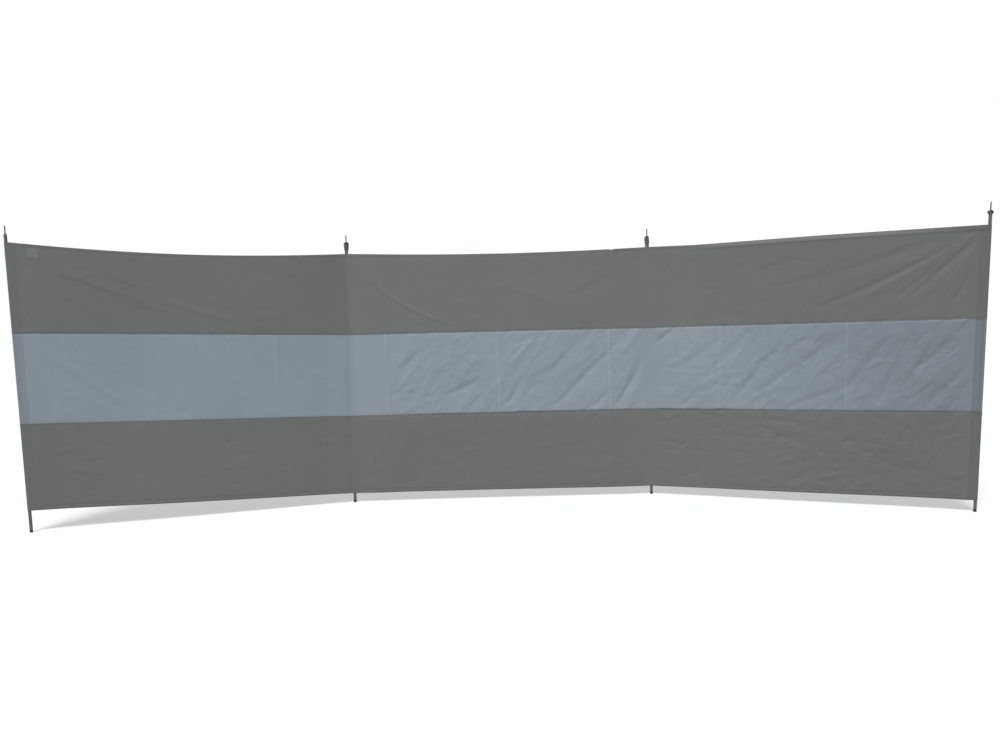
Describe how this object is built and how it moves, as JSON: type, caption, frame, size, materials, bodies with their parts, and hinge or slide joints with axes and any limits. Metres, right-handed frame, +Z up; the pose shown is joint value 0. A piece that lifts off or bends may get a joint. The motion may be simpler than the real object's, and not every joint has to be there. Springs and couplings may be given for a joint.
{
  "type": "fabric windbreak",
  "caption": "Fabric windbreak for pitching in bays: dark cloth with a pale middle band, sleeved on upright steel poles with top pins, the end bays turned inwards.",
  "frame": {"origin": "centre of the flat foot face of pole 2, the left one of the two inner poles, on the ground", "axes": "+X along the middle bay from pole 2 to pole 3, +Z up, -Y to the seen side that the end bays turn to"},
  "size_m": [4.8939, 0.8033, 1.5553],
  "materials": {
    "cloth_dark": "plain-weave coated polyester, matt, dark grey",
    "cloth_light": "plain-weave coated polyester, slight sheen, pale blue-grey",
    "pole_steel": "grey lacquered steel tube",
    "pin_steel": "plain steel, dull",
    "foot_plastic": "black moulded end plug",
    "loop_webbing": "woven webbing, dark grey",
    "patch_cloth": "plain sewn patch, bare"
  },
  "bodies": {
    "root": {"pole_1_tube": "pole_steel", "pole_1_foot": "foot_plastic", "pole_1_pin": "pin_steel", "pole_1_loop": "loop_webbing", "sleeve_1_top": "cloth_dark", "sleeve_1_middle": "cloth_light", "sleeve_1_bottom": "cloth_dark", "pole_2_tube": "pole_steel", "pole_2_foot": "foot_plastic", "pole_2_pin": "pin_steel", "pole_2_loop": "loop_webbing", "sleeve_2_top": "cloth_dark", "sleeve_2_middle": "cloth_light", "sleeve_2_bottom": "cloth_dark", "pole_3_tube": "pole_steel", "pole_3_foot": "foot_plastic", "pole_3_pin": "pin_steel", "pole_3_loop": "loop_webbing", "sleeve_3_top": "cloth_dark", "sleeve_3_middle": "cloth_light", "sleeve_3_bottom": "cloth_dark", "pole_4_tube": "pole_steel", "pole_4_foot": "foot_plastic", "pole_4_pin": "pin_steel", "pole_4_loop": "loop_webbing", "sleeve_4_top": "cloth_dark", "sleeve_4_middle": "cloth_light", "sleeve_4_bottom": "cloth_dark", "bay_1_top_hem": "cloth_dark", "bay_1_top_band": "cloth_dark", "bay_1_middle_band": "cloth_light", "bay_1_bottom_band": "cloth_dark", "bay_1_bottom_hem": "cloth_dark", "bay_2_top_hem": "cloth_dark", "bay_2_top_band": "cloth_dark", "bay_2_middle_band": "cloth_light", "bay_2_bottom_band": "cloth_dark", "bay_2_bottom_hem": "cloth_dark", "bay_3_top_hem": "cloth_dark", "bay_3_top_band": "cloth_dark", "bay_3_middle_band": "cloth_light", "bay_3_bottom_band": "cloth_dark", "bay_3_bottom_hem": "cloth_dark", "corner_patch": "patch_cloth"}
  },
  "joints": []
}
